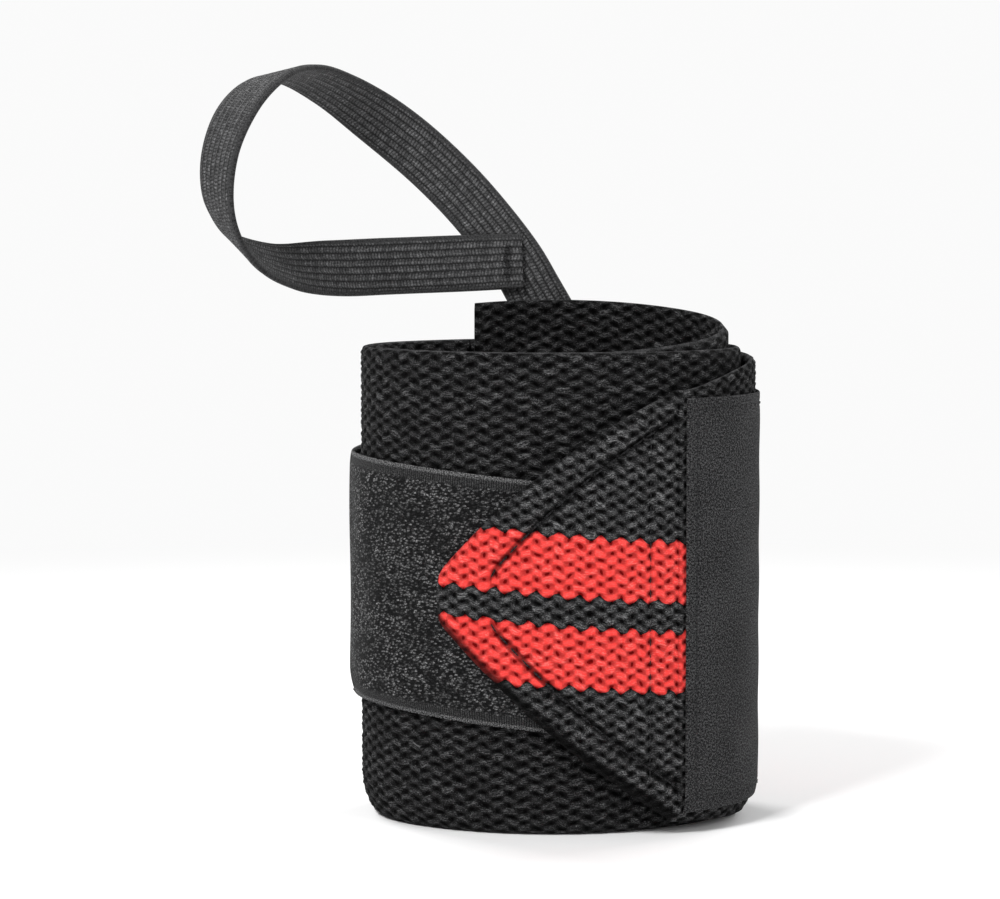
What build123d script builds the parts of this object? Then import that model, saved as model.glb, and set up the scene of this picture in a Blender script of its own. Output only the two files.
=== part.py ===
"""Wrist support brace: an elastic wrist wrap, wound as it is worn on a right wrist.

A woven elastic webbing is wound about two and a half times round the wrist. Its inner end carries an
elastic thumb loop. Its outer end is folded to a point on the back of the wrist, and a hook strap sewn
under the point runs round the thumb side and grips a loop patch on the palm side.

Frame, in millimetres: +Z runs along the wrist towards the fingers, +X to the little-finger side,
-X to the thumb side, -Y to the back of the hand and +Y to the palm. The origin is on the wrist's
axis in the plane of the lower edge.

Places round the wrist are angles of winding, in degrees. They start at the palm (+Y) and turn
towards +X: 0 palm, 90 little-finger side, 180 back of the hand, 270 thumb side, 360 palm again,
one layer further out. Places across a layer are offsets, outwards from the webbing's middle line.
"""

import math
import os

from build123d import *

# ---- Driving dimensions, in millimetres and in degrees of winding ----
tunnel_width = 55.0  # the space for the wrist, thumb side to little-finger side
tunnel_depth = 42.0  # the space for the wrist, back to palm
webbing_thickness = 1.8
webbing_width = 80.0
turn_gap = 0.3  # between one turn of webbing and the next
sewn_gap = 0.05  # between two layers that are sewn together
joint_gap = 0.3  # between pieces that move against each other

inner_end = -25.0  # where the webbing starts
inner_turn_end = 335.0
middle_turn_end = 695.0
outer_turn_end = 867.0  # where the pointed flap starts
inner_end_rise = 7.0  # how far the thumb loop pulls the inner end up
outer_top_drop = 3.5  # how far the outer turn's upper edge sinks on its way to the back
outer_bottom_rise = 1.0

stripe_width = 10.0
stripe_space = 5.3  # between the two stripes
stripe_depth = 0.5
stripe_drop = 2.0  # from the webbing's middle down to the middle of the stripes
flap_stripe_slope = 0.09  # how much the stripes climb along the flap, towards its tip

flap_length = 40.8  # from the panel to the tip, along X
flap_lift = (1.55, -0.9)  # how much the last two quarter turns open out, for the layers under the flap
fold_step = (0.8, 2.7)  # how far the folded corners lie inside the outer turn's two edges
tip_rise = 1.6  # from the middle of the stripes up to the blunt tip's middle
tip_height = 6.0
shoulder_length = 16.5  # from the tip to the bend of each slanting edge, along X
shoulder_reach = 20.0  # from the tip's middle to that bend, along Z
hem_width = 11.5  # of the folded edge, along X
hem_thickness = 1.1
hem_seam = 9.0  # of the hem's seam from the slanting edge, along X
cross_seam = 5.0  # of the seam across the flap from the panel, along X

strap_width = 42.0
strap_thickness = 1.0
strap_rise = 1.0  # of the strap's middle above the webbing's
strap_root = 24.0  # how far the strap reaches under the flap, from its tip
strap_step = 0.3  # how much further out each stretch of the strap lies than the one before
tip_margin = 1.6  # from the flap's tip to the strap's first bend
strap_end_sweep = 40.0  # how far the strap reaches over the patch
hook_margin = 2.0  # of the hooks from the ends of the strap's last stretch
hook_edge = 5.0  # of the hooks from the patch's upper and lower edge
hook_thickness = 0.4

patch_start = 628.0
patch_end = 724.0
patch_height = 40.0
patch_thickness = 0.8
patch_seat = 0.55  # how deep the sewn patch presses into the webbing

panel_start = 795.0
panel_margin = 1.0  # degrees from the panel to the flap
panel_edge = (2.5, 4.0)  # from the webbing's lower and upper edge to the panel
panel_thickness = 0.6

elastic_width = 10.0
elastic_thickness = 1.2
tab_start = -21.0
tab_end = 2.0
tab_depth = 18.0  # how far the sewn tab reaches below the webbing's edge
tab_rise = 1.0  # how far the thumb loop's fold lies above the raised inner end
fold_gap = 0.75  # room between the tab and the loop for half the elastic's thickness to turn in
bartack_height = 2.0
bartack_space = 3.5

thread_width = 0.6
thread_height = 0.3
seam_margin = 2.0  # of a seam from the edge that it holds

# The thumb loop's middle line and the way that its outer face looks, from the seam on the palm up
# the ball of the thumb, through the web, down the back of the thumb and round to the seam again,
# where the second leg is sewn on behind the first. Points are measured from the top of the tab.
loop_route = [
    ((0.0, 0.0, 0.0), (0, 1, 0)),
    ((-2.8, 2.2, 6.0), (0, 1, -0.3)),
    ((-7.5, 4.2, 12.0), (0, 1, -0.2)),
    ((-13.2, 5.4, 18.5), (-0.1, 1, 0)),
    ((-20.0, 5.2, 25.0), (-0.2, 1, 0.2)),
    ((-27.5, 2.8, 31.0), (-0.2, 0.8, 0.5)),
    ((-34.5, -2.5, 35.8), (-0.2, 0.5, 0.9)),
    ((-40.5, -10.0, 38.4), (-0.3, 0, 1)),
    ((-45.5, -18.5, 37.2), (-0.4, -0.4, 0.8)),
    ((-50.0, -25.5, 32.0), (-0.6, -0.7, 0.45)),
    ((-52.8, -29.5, 24.0), (-0.75, -0.65, 0.1)),
    ((-52.8, -29.5, 15.5), (-0.85, -0.5, -0.1)),
    ((-49.5, -25.0, 8.8), (-0.85, -0.3, -0.4)),
    ((-43.0, -17.0, 5.4), (-0.8, 0.1, -0.5)),
    ((-34.5, -9.0, 4.8), (-0.65, 0.5, -0.2)),
    ((-25.0, -3.6, 5.0), (-0.35, 0.9, 0)),
    ((-15.0, -0.6, 5.3), (-0.1, 1, 0)),
    ((-5.0, 0.2, 5.5), (0, 1, 0)),
    ((1.5, 0.2, 5.5), (0, 1, 0)),
]
loop_split = 10  # the point of the route where the two legs of the loop meet

# ---- Derived sizes ----
pitch = webbing_thickness + turn_gap
face = webbing_thickness / 2  # from the middle of the webbing to its surface
half_width = tunnel_width / 2 + face
half_depth = tunnel_depth / 2 + face
side_radius = (half_width + half_depth - math.sqrt(2) * half_width) / (2 - math.sqrt(2))
flat_radius = half_width + half_depth - side_radius
reach = tunnel_width + tunnel_depth  # further than any piece goes from the axis
quarter_turn = 90.0  # degrees of winding in each arc
arc_count = 12
inner_back = 2 * quarter_turn  # the back of the hand, on the inner turn
middle_back = 6 * quarter_turn  # the back of the hand, on the middle turn
outer_back = 10 * quarter_turn  # the back of the hand, on the outer turn

stripe_middle = webbing_width / 2 - stripe_drop
strap_middle = webbing_width / 2 + strap_rise
strap_bottom = strap_middle - strap_width / 2
strap_top = strap_middle + strap_width / 2
patch_bottom = strap_middle - patch_height / 2
patch_top = strap_middle + patch_height / 2
patch_outer = face - patch_seat + patch_thickness
outer_top = webbing_width - outer_top_drop
panel_bottom = outer_bottom_rise + panel_edge[0]
panel_top = outer_top - panel_edge[1]
panel_end = outer_turn_end - panel_margin
panel_outer = face + sewn_gap + panel_thickness
tip_middle = stripe_middle + tip_rise
hem_outer = -face - sewn_gap
hem_inner = hem_outer - hem_thickness
root_outer = hem_inner - sewn_gap
root_inner = root_outer - strap_thickness
middle_inner = face + joint_gap + strap_step
middle_outer = middle_inner + strap_thickness
hook_inner = patch_outer + joint_gap
hook_outer = hook_inner + hook_thickness
end_inner = hook_outer + sewn_gap
end_outer = end_inner + strap_thickness
tab_bottom = webbing_width - tab_depth
tab_top = webbing_width + inner_end_rise + tab_rise
tab_inner = face - elastic_thickness


def outward(angle):
    """The direction that points out of the winding at an angle."""
    return Vector(math.sin(math.radians(angle)), math.cos(math.radians(angle)))


def arc_number(angle):
    """The number of the arc that holds an angle."""
    return max(0, int((angle + quarter_turn / 2) // quarter_turn))


def arc_joint(k):
    """The angle at which arc k starts."""
    return quarter_turn * (k - 1 / 2)


def winding():
    """The arcs of the webbing's middle line, a quarter turn each, as (centre, radius) pairs.

    Arc k is the quarter turn whose middle lies at 90 k degrees. The flat sides and the ends of the
    oval take turns, each arc is a quarter of the pitch wider than the one before, and neighbours are
    tangent. The arcs that end the outer turn are opened out further, by the flap's lift.
    """
    lift_start = arc_number(outer_turn_end) - len(flap_lift) + 1
    centre, radius = Vector(0, half_depth - flat_radius), flat_radius
    arcs = [(centre, radius)]
    for k in range(1, arc_count):
        oval = flat_radius if k % 2 == 0 else side_radius
        lifted = sum(flap_lift[: max(0, k - lift_start + 1)])
        wider = oval + k * pitch / 4 + lifted
        centre += outward(arc_joint(k)) * (radius - wider)
        radius = wider
        arcs.append((centre, radius))
    return arcs


arcs = winding()


def arc_at(angle):
    """The centre and radius of the arc that holds an angle."""
    return arcs[arc_number(angle)]


def wound_point(angle, offset):
    """The point at an angle and an offset."""
    centre, radius = arc_at(angle)
    return centre + outward(angle) * (radius + offset)


def further(angle, distance):
    """The angle that lies a distance further along the webbing."""
    return angle + math.degrees(distance / arc_at(angle)[1])


def onward(angle):
    """The direction in which the webbing runs at an angle."""
    return Vector(math.cos(math.radians(angle)), -math.sin(math.radians(angle)))


def find_angle(beyond, low, high):
    """The angle between two others at which beyond(angle) turns from negative to positive."""
    for _ in range(40):
        middle = (low + high) / 2
        low, high = (low, middle) if beyond(middle) > 0 else (middle, high)
    return middle


flap_start = further(outer_turn_end, joint_gap)
flap_root_x = wound_point(outer_turn_end, face).X
flap_tip_x = flap_root_x - flap_length
behind_tip = quarter_turn * (arc_count - 1)  # an angle past the flap's tip
strap_bend = find_angle(
    lambda a: flap_tip_x - tip_margin - wound_point(a, middle_outer).X,
    middle_back,
    middle_back + quarter_turn,
)
bend_point = wound_point(strap_bend, middle_inner)
base_end = find_angle(
    lambda a: (wound_point(a, root_inner) - bend_point).dot(onward(strap_bend)) + joint_gap,
    outer_back - quarter_turn,
    outer_back + quarter_turn,
)
base_start = find_angle(
    lambda a: flap_tip_x + strap_root - wound_point(a, root_inner).X,
    outer_back - quarter_turn,
    outer_back + quarter_turn,
)
strap_end_bend = patch_start
strap_end = strap_end_bend + strap_end_sweep


def wound_run(start, end, offset):
    """Draws the tangent arcs from one angle to another, in the line that is being built."""
    joints = [arc_joint(k) for k in range(1, arc_count)]
    stops = [start, *[j for j in joints if min(start, end) < j < max(start, end)], end]
    stops = sorted(stops, reverse=end < start)
    for first, second in zip(stops, stops[1:]):
        middle = (first + second) / 2
        centre, radius = arc_at(middle)
        ThreePointArc(*[centre + outward(a) * (radius + offset) for a in (first, middle, second)])


def wound_layer(start, end, inner, outer, low, high, mode=Mode.ADD):
    """Puts a layer between two angles, two offsets and two heights into the part being built."""
    with BuildSketch(Plane.XY.offset(low)) as plan:
        with BuildLine():
            wound_run(start, end, outer)
            Line(wound_point(end, outer), wound_point(end, inner))
            wound_run(end, start, inner)
            Line(wound_point(start, inner), wound_point(start, outer))
        make_face()
    extrude(plan.sketch, amount=high - low, mode=mode)


def keep_between(low_ends, high_ends):
    """Trims the part being built to heights that run straight from the palm to the back."""
    (low_palm, low_back), (high_palm, high_back) = low_ends, high_ends
    with BuildSketch(Plane.YZ.offset(-reach)) as side_view:
        with BuildLine():
            Polyline(
                *[(half_depth, low_palm), (half_depth, high_palm)],
                *[(-half_depth, high_back), (-half_depth, low_back)],
                close=True,
            )
        make_face()
        for low, high, side in ((low_palm, high_palm, 1), (low_back, high_back, -1)):
            with Locations((side * (half_depth + reach / 2), (low + high) / 2)):
                Rectangle(reach, high - low)
    extrude(side_view.sketch, amount=2 * reach, mode=Mode.INTERSECT)


def flap_shape(shift):
    """Draws the flap as seen from the back of the hand, its slanting edges moved along X."""
    low, high = tip_middle - tip_height / 2, tip_middle + tip_height / 2
    tip, root = flap_tip_x + shift, flap_root_x + shift
    bend = tip + shoulder_length
    lower = (root, outer_bottom_rise + fold_step[0])
    upper = (root, outer_top - fold_step[1])
    with BuildLine() as outline:
        ThreePointArc(lower, (bend, tip_middle - shoulder_reach), (tip, low))
        Line((tip, low), (tip, high))
        ThreePointArc((tip, high), (bend, tip_middle + shoulder_reach), upper)
        Polyline(upper, (root + reach, upper[1]), (root + reach, lower[1]), lower)
    make_face(outline.edges())


def keep_flap(near=0.0, far=None, low=0.0, high=webbing_width):
    """Trims the part being built to the flap, or to what lies between two distances from its edges."""
    with BuildSketch(Plane.XZ) as shape:
        flap_shape(near)
        if far is not None:
            with BuildSketch(mode=Mode.PRIVATE) as inside:
                flap_shape(far)
            add(inside.sketch, mode=Mode.SUBTRACT)
        with Locations((0, (low + high) / 2)):
            Rectangle(4 * reach, high - low, mode=Mode.INTERSECT)
    extrude(shape.sketch, amount=reach, mode=Mode.INTERSECT)


def keep_stripes(slope):
    """Trims the part being built to the two stripes, seen from the back of the hand."""
    with BuildSketch(Plane.XZ) as stripes:
        for side in (-1, 1):
            middle = stripe_middle + side * (stripe_width + stripe_space) / 2
            with BuildLine():
                Polyline(
                    (-reach, middle + slope * reach - stripe_width / 2),
                    (reach, middle - slope * reach - stripe_width / 2),
                    (reach, middle - slope * reach + stripe_width / 2),
                    (-reach, middle + slope * reach + stripe_width / 2),
                    close=True,
                )
            make_face()
    extrude(stripes.sketch, amount=reach, both=True, mode=Mode.INTERSECT)


def save(piece, name):
    """Labels a finished piece and writes its STEP file."""
    piece.label = name
    export_step(piece, f"parts/{name}.step")


os.makedirs("parts", exist_ok=True)

# ---- The red stripes, which are woven into the webbing's face ----
with BuildPart() as inner_turn_stripes:
    wound_layer(tab_start, inner_turn_end, -face, -face + stripe_depth, 0, webbing_width)
    keep_stripes(0)
with BuildPart() as middle_turn_stripes:
    wound_layer(inner_turn_end, patch_start, face - stripe_depth, face, 0, webbing_width)
    keep_stripes(0)
with BuildPart() as outer_turn_stripes:
    wound_layer(patch_end, panel_start, face - stripe_depth, face, 0, webbing_width)
    keep_stripes(0)
with BuildPart() as flap_stripes:
    wound_layer(flap_start, behind_tip, face - stripe_depth, face, 0, webbing_width)
    keep_flap()
    keep_stripes(flap_stripe_slope)
save(inner_turn_stripes.part, "inner_turn_stripes")
save(middle_turn_stripes.part, "middle_turn_stripes")
save(outer_turn_stripes.part, "outer_turn_stripes")
save(flap_stripes.part, "flap_stripes")

# ---- The webbing, in the stretches that its turns make ----
with BuildPart() as inner_turn:
    wound_layer(inner_end, inner_back, -face, face, 0, webbing_width + inner_end_rise)
    keep_between((inner_end_rise, 0), (webbing_width + inner_end_rise, webbing_width))
    wound_layer(inner_back, inner_turn_end, -face, face, 0, webbing_width)
    pocket = (further(tab_start, -joint_gap), further(tab_end, joint_gap), tab_inner - sewn_gap)
    wound_layer(*pocket, face + turn_gap, tab_bottom - joint_gap, reach, Mode.SUBTRACT)
    add(inner_turn_stripes.part, mode=Mode.SUBTRACT)
save(inner_turn.part, "inner_turn")

with BuildPart() as middle_turn:
    wound_layer(inner_turn_end, middle_turn_end, -face, face, 0, webbing_width)
    add(middle_turn_stripes.part, mode=Mode.SUBTRACT)
    seat = (patch_start, middle_turn_end, face - patch_seat - sewn_gap, face + turn_gap)
    wound_layer(*seat, patch_bottom, patch_top, Mode.SUBTRACT)
save(middle_turn.part, "middle_turn")

with BuildPart() as outer_turn:
    wound_layer(middle_turn_end, outer_turn_end, -face, face, 0, webbing_width)
    keep_between((0, outer_bottom_rise), (webbing_width, outer_top))
    add(outer_turn_stripes.part, mode=Mode.SUBTRACT)
    seat = (middle_turn_end, patch_end, face - patch_seat - sewn_gap, face + turn_gap)
    wound_layer(*seat, patch_bottom, patch_top, Mode.SUBTRACT)
save(outer_turn.part, "outer_turn")

# ---- The pointed flap, with its corners folded under ----
with BuildPart() as pointed_flap:
    wound_layer(flap_start, behind_tip, -face, face, 0, webbing_width)
    keep_flap()
    add(flap_stripes.part, mode=Mode.SUBTRACT)
save(pointed_flap.part, "pointed_flap")

with BuildPart() as folded_hem_upper:
    wound_layer(flap_start, behind_tip, hem_inner, hem_outer, 0, webbing_width)
    keep_flap(0, hem_width, low=tip_middle + sewn_gap / 2)
save(folded_hem_upper.part, "folded_hem_upper")

with BuildPart() as folded_hem_lower:
    wound_layer(flap_start, behind_tip, hem_inner, hem_outer, 0, webbing_width)
    keep_flap(0, hem_width, high=tip_middle - sewn_gap / 2)
save(folded_hem_lower.part, "folded_hem_lower")

with BuildPart() as flap_seams:
    wound_layer(flap_start, behind_tip, face, face + thread_height, 0, webbing_width)
    keep_flap(hem_seam, hem_seam + thread_width)
save(flap_seams.part, "flap_seams")

with BuildPart() as cross_seam_thread:
    wound_layer(flap_start, behind_tip, face, face + thread_height, 0, webbing_width)
    keep_flap(thread_width, flap_length)
    with BuildSketch(Plane.XZ):
        with Locations((flap_root_x - cross_seam, webbing_width / 2)):
            Rectangle(thread_width, webbing_width)
    extrude(amount=reach, mode=Mode.INTERSECT)
    add(flap_seams.part, mode=Mode.SUBTRACT)
save(cross_seam_thread.part, "cross_seam")

# ---- The hook strap ----
with BuildPart() as strap_base:
    wound_layer(base_start, base_end, root_inner, root_outer, strap_bottom, strap_top)
save(strap_base.part, "strap_base")

with BuildPart() as hook_strap:
    stretch = (strap_bend, further(strap_end_bend, -joint_gap), middle_inner, middle_outer)
    wound_layer(*stretch, strap_bottom, strap_top)
save(hook_strap.part, "hook_strap")

with BuildPart() as strap_end_piece:
    wound_layer(strap_end_bend, strap_end, end_inner, end_outer, strap_bottom, strap_top)
save(strap_end_piece.part, "strap_end")

with BuildPart() as hook_pad:
    hooks = (further(strap_end_bend, hook_margin), further(strap_end, -hook_margin))
    wound_layer(*hooks, hook_inner, hook_outer, patch_bottom + hook_edge, patch_top - hook_edge)
save(hook_pad.part, "hook_pad")

# ---- The loop patch and its seam ----
with BuildPart() as loop_patch:
    wound_layer(patch_start, patch_end, face - patch_seat, patch_outer, patch_bottom, patch_top)
save(loop_patch.part, "loop_patch")

# ---- The bare panel, where the outer turn ends ----
with BuildPart() as end_panel:
    wound_layer(panel_start, panel_end, face + sewn_gap, panel_outer, panel_bottom, panel_top)
save(end_panel.part, "end_panel")


def seam_frame(start, end, offset, low, high):
    """Puts a frame of thread on a surface, inside the edges of the piece that it holds."""
    start, end = further(start, seam_margin), further(end, -seam_margin)
    low, high = low + seam_margin, high - seam_margin
    top = offset + thread_height
    wound_layer(start, end, offset, top, low, high)
    inside = (further(start, thread_width), further(end, -thread_width))
    window = (offset - sewn_gap, top + sewn_gap, low + thread_width, high - thread_width)
    wound_layer(*inside, *window, Mode.SUBTRACT)


with BuildPart() as patch_seam:
    seam_frame(patch_start, patch_end, patch_outer, patch_bottom, patch_top)
save(patch_seam.part, "patch_seam")

with BuildPart() as panel_seam:
    seam_frame(panel_start, panel_end, panel_outer, panel_bottom, panel_top)
save(panel_seam.part, "panel_seam")

# ---- The elastic thumb loop ----
with BuildPart() as thumb_loop_tab:
    wound_layer(tab_start, tab_end, tab_inner, face, tab_bottom, tab_top - fold_gap)
save(thumb_loop_tab.part, "thumb_loop_tab")

with BuildPart() as bartacks:
    for row in range(2):
        low = webbing_width + thread_width + row * bartack_space
        bar = (further(tab_start, seam_margin), further(tab_end, -seam_margin))
        wound_layer(*bar, face, face + thread_height, low, low + bartack_height)
save(bartacks.part, "tab_bartacks")

loop_seam = wound_point(tab_end, face - elastic_thickness / 2)
loop_anchor = Vector(loop_seam.X - elastic_width / 2, loop_seam.Y, tab_top)


def loop_planes():
    """A plane across the elastic at each point of its route: x along its width, y outwards."""
    points = [loop_anchor + Vector(*point) for point, _ in loop_route]
    planes = []
    for k, (point, (_, look)) in enumerate(zip(points, loop_route)):
        before, after = points[max(0, k - 1)], points[min(len(points) - 1, k + 1)]
        along = Vector(0, 0, 1) if k == 0 else (after - before).normalized()
        width = Vector(*look).cross(along).normalized()
        planes.append(Plane(origin=point, x_dir=width, z_dir=along))
    return planes


with BuildPart() as thumb_loop:
    planes = loop_planes()
    for leg in (planes[: loop_split + 1], planes[loop_split:]):
        sections = []
        for plane in leg:
            with BuildSketch(plane, mode=Mode.PRIVATE) as section:
                Rectangle(elastic_width, elastic_thickness)
            sections.append(section.sketch.face())
        loft(sections)
save(thumb_loop.part, "thumb_loop")
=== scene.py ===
"""Looks of the wrist support brace, in metres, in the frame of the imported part.

Shapes are worked out in millimetres. Places round the wrist are angles of winding, in degrees: 0 palm,
90 little-finger side, 180 back of the hand, 270 thumb side, and a layer further out with each turn.
"""

import math
from functools import partialmethod

import bmesh
import bpy
import numpy as np
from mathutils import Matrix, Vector


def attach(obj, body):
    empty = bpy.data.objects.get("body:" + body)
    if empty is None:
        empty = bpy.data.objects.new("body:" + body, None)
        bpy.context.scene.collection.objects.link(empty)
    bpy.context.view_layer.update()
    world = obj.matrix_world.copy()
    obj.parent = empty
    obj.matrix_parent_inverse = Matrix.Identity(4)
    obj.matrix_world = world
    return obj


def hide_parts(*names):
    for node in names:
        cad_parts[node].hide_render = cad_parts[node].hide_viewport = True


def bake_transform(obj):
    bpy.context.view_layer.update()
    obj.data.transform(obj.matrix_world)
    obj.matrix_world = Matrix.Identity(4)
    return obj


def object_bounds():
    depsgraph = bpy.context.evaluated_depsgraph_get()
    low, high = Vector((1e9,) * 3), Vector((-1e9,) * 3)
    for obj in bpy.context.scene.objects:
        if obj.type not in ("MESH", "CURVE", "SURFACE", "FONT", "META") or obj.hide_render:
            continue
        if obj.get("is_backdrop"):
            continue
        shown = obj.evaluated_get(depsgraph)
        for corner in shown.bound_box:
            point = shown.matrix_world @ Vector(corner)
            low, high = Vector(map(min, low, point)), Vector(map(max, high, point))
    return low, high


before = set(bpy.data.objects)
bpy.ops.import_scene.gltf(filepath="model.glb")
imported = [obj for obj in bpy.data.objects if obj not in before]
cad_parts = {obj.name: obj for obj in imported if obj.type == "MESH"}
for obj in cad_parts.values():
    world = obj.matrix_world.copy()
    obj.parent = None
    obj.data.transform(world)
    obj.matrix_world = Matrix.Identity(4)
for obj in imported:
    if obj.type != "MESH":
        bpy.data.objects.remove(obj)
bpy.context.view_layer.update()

MM = 0.001
scene = bpy.context.scene


def add(name, data):
    """Puts an object into the scene."""
    thing = bpy.data.objects.new(name, data)
    scene.collection.objects.link(thing)
    return thing


# ---- Shader nodes ----
class Value:
    """A node's output. Arithmetic with it makes Math nodes."""

    def __init__(self, shade, socket):
        self.shade, self.socket = shade, socket

    def math(self, operation, *others):
        return self.shade.math(operation, self, *others)

    def ramp(self, low, high, to_low=0.0, to_high=1.0):
        values = enumerate((self, low, high, to_low, to_high))
        return self.shade.node("MapRange", values, interpolation_type="SMOOTHSTEP")

    def __rsub__(self, other):
        return self.shade.math("SUBTRACT", other, self)

    __add__ = __radd__ = partialmethod(math, "ADD")
    __mul__ = __rmul__ = partialmethod(math, "MULTIPLY")
    __sub__ = partialmethod(math, "SUBTRACT")
    __truediv__ = partialmethod(math, "DIVIDE")
    __mod__ = partialmethod(math, "FLOORED_MODULO")
    __pow__ = partialmethod(math, "POWER")
    __abs__ = partialmethod(math, "ABSOLUTE")
    floor, fraction = partialmethod(math, "FLOOR"), partialmethod(math, "FRACT")
    sine, cosine = partialmethod(math, "SINE"), partialmethod(math, "COSINE")
    above, below = partialmethod(math, "GREATER_THAN"), partialmethod(math, "LESS_THAN")
    least, most = partialmethod(math, "MINIMUM"), partialmethod(math, "MAXIMUM")


class Shade:
    """The node tree of a material or a world, in the making."""

    def __init__(self, owner):
        self.owner = bpy.data.materials.new(owner) if isinstance(owner, str) else owner
        self.owner.use_nodes = True
        self.tree = self.owner.node_tree
        self.tree.nodes.clear()

    def node(self, kind, inputs=(), *outputs, **settings):
        """Adds a node, and returns the outputs that are asked for, or else the first one."""
        made = self.tree.nodes.new("ShaderNode" + kind)
        for key, value in settings.items():
            setattr(made, key, value)
        for key, value in dict(inputs).items():
            socket = made.inputs[key]
            if isinstance(value, Value):
                self.tree.links.new(value.socket, socket)
            else:
                socket.default_value = (*value, 1) if socket.type == "RGBA" else value
        found = [Value(self, made.outputs[key]) for key in outputs or range(min(1, len(made.outputs)))]
        return found[0] if len(found) == 1 else found

    def math(self, operation, *values):
        return self.node("Math", enumerate(values), operation=operation)

    def vector(self, x, y, z=0.0):
        return self.node("CombineXYZ", {"X": x, "Y": y, "Z": z})

    def attribute(self, name):
        vector = self.node("Attribute", {}, "Vector", attribute_name=name)
        return self.node("SeparateXYZ", {0: vector}, 0, 1, 2)

    def noise(self, vector, scale, detail, roughness):
        inputs = {"Vector": vector, "Scale": scale, "Detail": detail, "Roughness": roughness}
        return self.node("TexNoise", inputs, "Fac")

    def cells(self, vector, scale, randomness=1.0):
        """The distance to the middle of the nearest cell, and a number of that cell's own."""
        inputs = {"Vector": vector, "Scale": scale, "Randomness": randomness}
        distance, colour = self.node("TexVoronoi", inputs, "Distance", "Color")
        return distance, self.node("SeparateXYZ", {0: colour})

    def random(self, vector):
        return self.node("TexWhiteNoise", {"Vector": vector}, "Value")

    def between(self, share, first, second):
        return self.node("Mix", {0: share, 2: first, 3: second})

    def mix(self, share, first, second):
        return self.node("Mix", {0: share, 6: first, 7: second}, 2, data_type="RGBA")

    def scaled(self, colour, share):
        return self.node("VectorMath", {0: colour, "Scale": share}, operation="SCALE")

    def finish(self, colour, roughness, sheen, specular, height=None, distance=0.0, strength=1.0):
        """Makes the material's surface. height, in parts of the distance in metres, is its bumps."""
        inputs = {"Base Color": colour, "Roughness": roughness, "Sheen Weight": sheen, "Sheen Roughness": 0.45,
                  "Specular IOR Level": specular}
        if height:
            inputs["Normal"] = self.node("Bump", {"Height": height, "Distance": distance, "Strength": strength})
        self.node("OutputMaterial", {0: self.node("BsdfPrincipled", inputs)})
        return self.owner


# ---- Camera, lamps and backdrop ----
AIM, CAMERA_AWAY, CAMERA_RISE = Vector((-0.0095, -0.004, 0.0625)), 0.62, math.radians(4.5)
VIEW_WIDTH, SENSOR = 0.170, 36
camera = add("camera", bpy.data.cameras.new("camera"))
camera.data.lens = SENSOR * CAMERA_AWAY / VIEW_WIDTH
camera.data.clip_start, camera.data.clip_end = 0.01, 20
camera.location = AIM + CAMERA_AWAY * Vector((0, -math.cos(CAMERA_RISE), math.sin(CAMERA_RISE)))
camera.rotation_euler = (math.pi / 2 - CAMERA_RISE, 0, 0)
scene.camera = camera
scene.view_settings.view_transform = "Standard"

for name, spot, size, watts in (
    ("key", (-0.50, -0.70, 0.85), 0.30, 11.0),
    ("fill", (0.85, -0.6, 0.45), 0.7, 4.5),
    ("back_left", (-0.6, 0.8, 0.7), 0.5, 8.0),
    ("back_right", (0.6, 0.7, 0.6), 0.5, 5.0),
):
    lamp = add(name, bpy.data.lights.new(name, "AREA"))
    lamp.data.shape, lamp.data.size, lamp.data.energy = "SQUARE", size, watts
    lamp.location = spot
    lamp.rotation_euler = (Vector((0, 0, 0.06)) - Vector(spot)).to_track_quat("-Z", "Y").to_euler()

PALE = (0.96, 0.96, 0.96)
scene.world = bpy.data.worlds.new("studio")
sky = Shade(scene.world)
dim = sky.node("Background", {"Color": (1, 1, 1), "Strength": 0.30})
bright = sky.node("Background", {"Color": PALE, "Strength": 1.0})
seen = sky.node("LightPath", {}, "Is Camera Ray")
sky.node("OutputWorld", {0: sky.node("MixShader", {0: seen, 1: dim, 2: bright})})

# ---- The winding of the webbing, as the part has it, in millimetres and degrees ----
TUNNEL_WIDTH, TUNNEL_DEPTH = 55.0, 42.0
THICKNESS, TURN_GAP, WIDTH = 1.8, 0.3, 80.0
INNER_END, INNER_TURN_END, MIDDLE_TURN_END, OUTER_TURN_END = -25.0, 335.0, 695.0, 867.0
INNER_END_RISE, OUTER_TOP_DROP, OUTER_BOTTOM_RISE = 7.0, 3.5, 1.0
STRIPE_WIDTH, STRIPE_SPACE, STRIPE_MIDDLE, STRIPE_SLOPE = 10.0, 5.3, 38.0, 0.09
FLAP_LENGTH, FLAP_LIFT, FOLD_STEP = 40.8, (1.55, -0.9), (0.8, 2.7)
TIP_RISE, TIP_HEIGHT, SHOULDER_LENGTH, SHOULDER_REACH = 1.6, 6.0, 16.5, 20.0
HEM_WIDTH, HEM_SEAM, CROSS_SEAM = 11.5, 9.0, 5.0
STRAP_LOW, STRAP_HIGH = 20.0, 62.0
STRAP_BEND, BASE_START, BASE_END, STRAP_END_BEND, STRAP_END = 573.24, 892.17, 933.67, 628.0, 668.0
PATCH_START, PATCH_END, PATCH_LOW, PATCH_HIGH = 628.0, 724.0, 21.0, 61.0
PANEL_START, PANEL_END, PANEL_LOW, PANEL_HIGH = 795.0, 866.0, 3.5, 72.5
TAB_END, TAB_LOW = 2.0, 62.0
WIDE, RIB, RIB_ZERO = 10.0, 1.25, 8.0  # of the elastic: its width, a rib's width and the middle rib's number
FACE = THICKNESS / 2
HALF_DEPTH = TUNNEL_DEPTH / 2 + FACE
ARC_COUNT = 12


def outward(angle):
    """The direction that points out of the winding at an angle."""
    a = np.radians(np.asarray(angle, float))
    return np.stack([np.sin(a), np.cos(a)], -1)


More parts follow.
